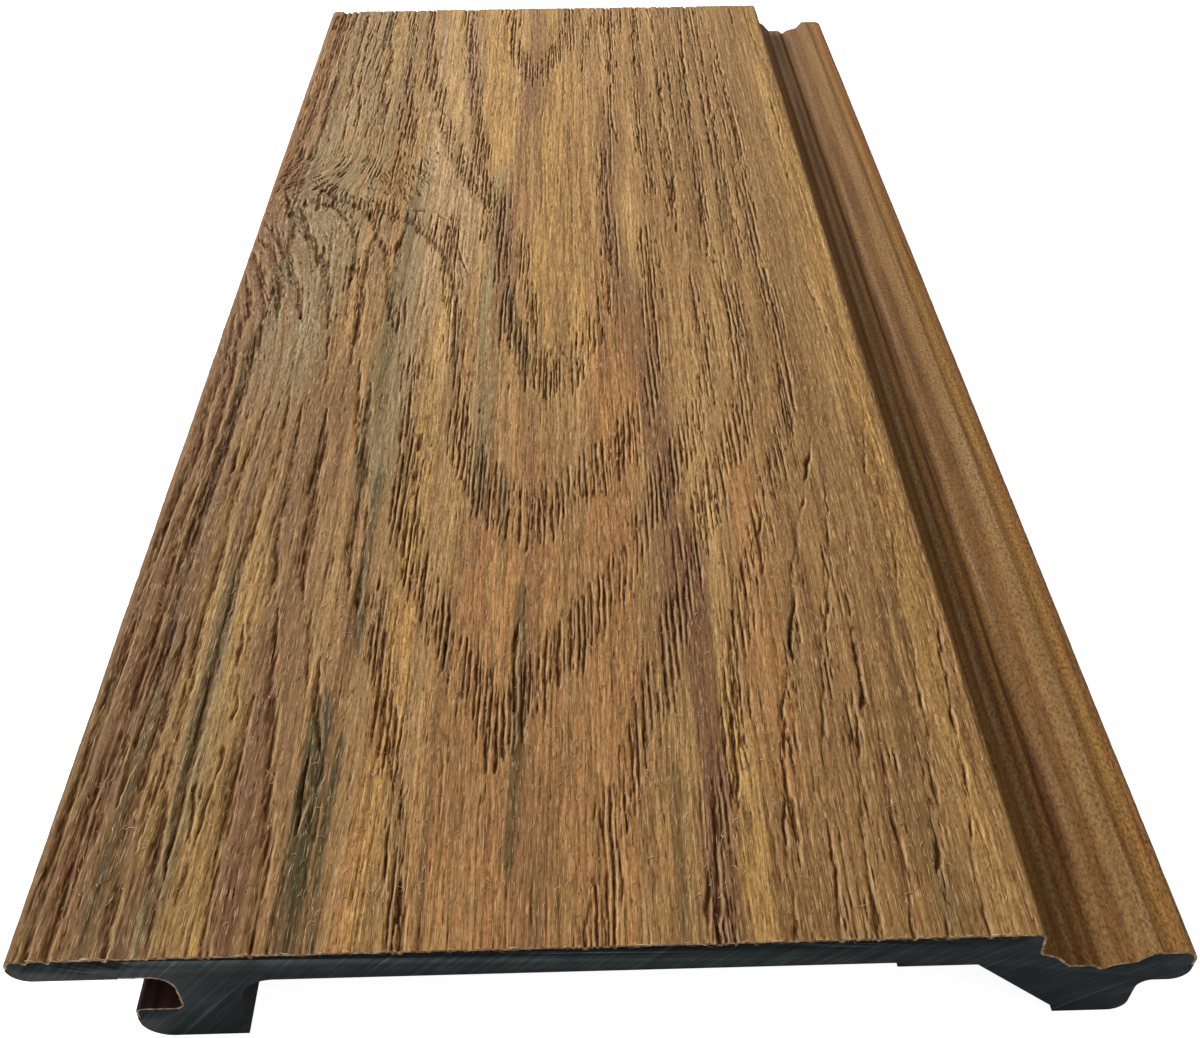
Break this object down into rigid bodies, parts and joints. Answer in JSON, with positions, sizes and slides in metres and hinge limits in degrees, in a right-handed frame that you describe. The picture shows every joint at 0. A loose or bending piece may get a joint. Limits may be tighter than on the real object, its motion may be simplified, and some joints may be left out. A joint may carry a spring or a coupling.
{
  "type": "composite cladding board",
  "caption": "Solid tongue-and-groove cladding board of wood-plastic composite, an offcut with sawn ends, a wood-grained capped face, a lap recess and a back channel between its feet.",
  "frame": {"origin": "middle of the bottom of the bounding box, in the plane of the board's two feet", "axes": "+X across the board from the groove edge to the tongue edge, +Y along the board, +Z out of its grained face"},
  "size_m": [0.156, 0.325, 0.021],
  "materials": {
    "core": "sawn dark wood-plastic composite, matt, with fine saw marks on the ends",
    "face_cap": "co-extruded cap, deep wood-grain embossing on the face, satin sheen, brown with dark green, reddish and ochre streaks",
    "groove_cap": "co-extruded cap, smooth and reddish brown"
  },
  "bodies": {
    "root": {"core": "core", "face_cap": "face_cap", "groove_cap": "groove_cap"}
  },
  "joints": []
}
